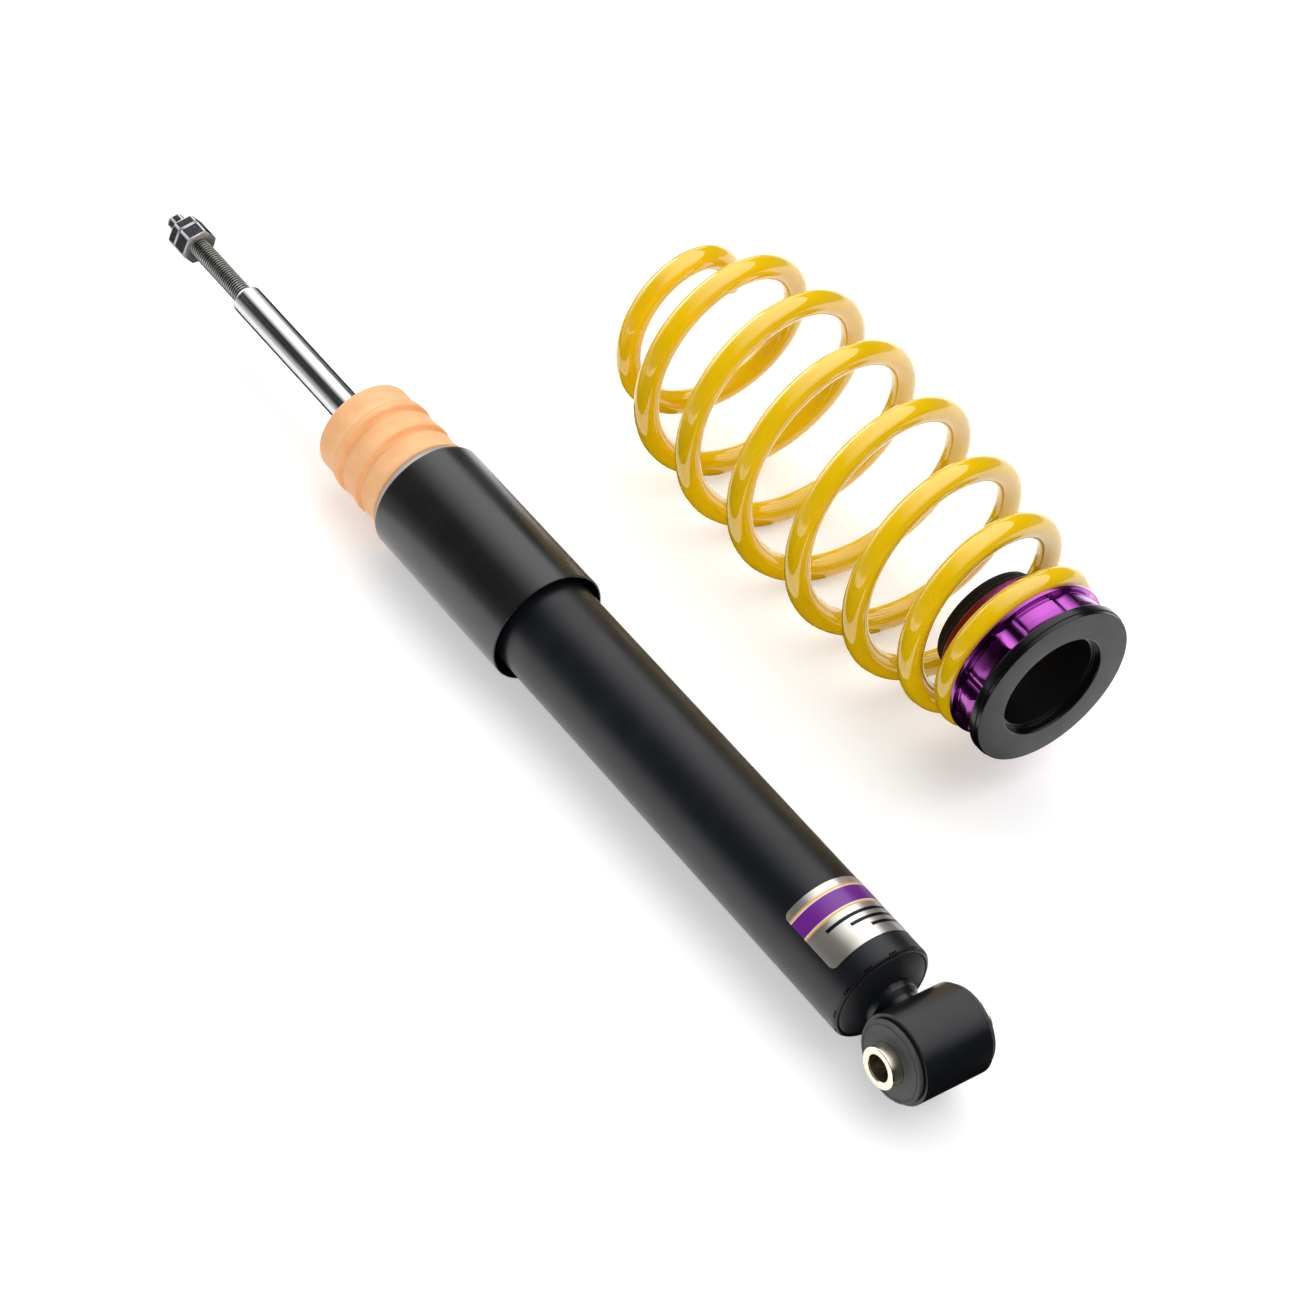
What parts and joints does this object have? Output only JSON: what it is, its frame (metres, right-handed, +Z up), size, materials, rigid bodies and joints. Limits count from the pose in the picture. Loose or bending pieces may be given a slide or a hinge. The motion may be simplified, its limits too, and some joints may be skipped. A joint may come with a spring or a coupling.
{
  "type": "coilover",
  "caption": "Rear suspension kit: a twin-tube damper with lower eye, bump stop and dust tube, beside a barrel spring on its threaded height adjuster.",
  "frame": {"origin": "centre of the damper lower eye, on the bolt axis", "axes": "-X along the damper towards the rod tip, Y along the eye bolt with +Y towards the spring set, +Z up from the ground the kit lies on"},
  "size_m": [0.62, 0.2524, 0.1227],
  "materials": {
    "tube_paint": "satin",
    "base_paint": "satin",
    "eye_paint": "satin",
    "bush_rubber": "matte",
    "sleeve_zinc": "satin",
    "label_foil": "satin",
    "rod_chrome": "polished",
    "nut_steel": "satin",
    "bump_foam": "matte",
    "dust_plastic": "satin",
    "spring_coat": "gloss",
    "ring_anodised": "gloss",
    "base_anodised": "gloss",
    "inner_steel": "satin",
    "seal_rubber": "matte",
    "guide_alloy": "satin",
    "valve_brass": "satin",
    "band_plastic": "satin"
  },
  "bodies": {
    "damper_tube": {"outer_tube": "tube_paint", "base_cap": "base_paint", "eye_neck": "eye_paint", "eye_ring": "eye_paint", "eye_bush": "bush_rubber", "label": "label_foil", "tube_cap": "tube_paint", "rod_seal": "seal_rubber", "rod_guide": "guide_alloy", "guide_bush": "valve_brass", "inner_cylinder": "inner_steel", "base_valve": "valve_brass", "base_valve_bolt": "inner_steel", "adjuster_base": "base_anodised"},
    "bush_sleeve": {"bush_sleeve": "sleeve_zinc"},
    "piston_slide": {"piston_band": "band_plastic"},
    "piston_rod": {"piston_rod": "rod_chrome", "piston": "valve_brass", "compression_shims": "inner_steel", "rebound_shims": "inner_steel", "piston_nut": "inner_steel", "rebound_stop": "inner_steel", "retaining_ring": "inner_steel", "lower_nut": "nut_steel", "upper_nut": "nut_steel"},
    "bump_stop": {"bump_stop": "bump_foam", "dust_tube": "dust_plastic"},
    "spring": {"coil_spring": "spring_coat"},
    "adjuster_ring": {"adjuster_ring": "ring_anodised"}
  },
  "joints": [
    {"name": "rod_stroke", "type": "slide", "parent": "damper_tube", "child": "piston_slide", "axis": [1, 0, 0], "range_m": [0, 0.1], "stiffness_N_per_m": 120, "springref_m": -0.15},
    {"name": "rod_spin", "type": "hinge", "parent": "piston_slide", "child": "piston_rod", "pos_m": [-0.3, 0, 0], "axis": [1, 0, 0], "continuous": true},
    {"name": "bump_stop_slide", "type": "slide", "parent": "damper_tube", "child": "bump_stop", "axis": [-1, 0, 0], "range_m": [0, 0.04]},
    {"name": "bush_twist", "type": "hinge", "parent": "damper_tube", "child": "bush_sleeve", "pos_m": [0, 0, 0], "axis": [0, 1, 0], "range_deg": [-15, 15], "stiffness_Nm_per_rad": 10},
    {"name": "spring_height", "type": "slide", "parent": "damper_tube", "child": "spring", "axis": [-0.9998, 0.0175, 0], "range_m": [0, 0.02]},
    {"name": "ring_screw", "type": "hinge", "parent": "spring", "child": "adjuster_ring", "pos_m": [-0.1249, 0.15848, 0.0321], "axis": [-0.9998, 0.0175, 0], "range_deg": [0, 3600]}
  ],
  "couplings": [
    {"joint": "ring_screw", "follows": "spring_height", "rad_per_m": 3141.6}
  ]
}
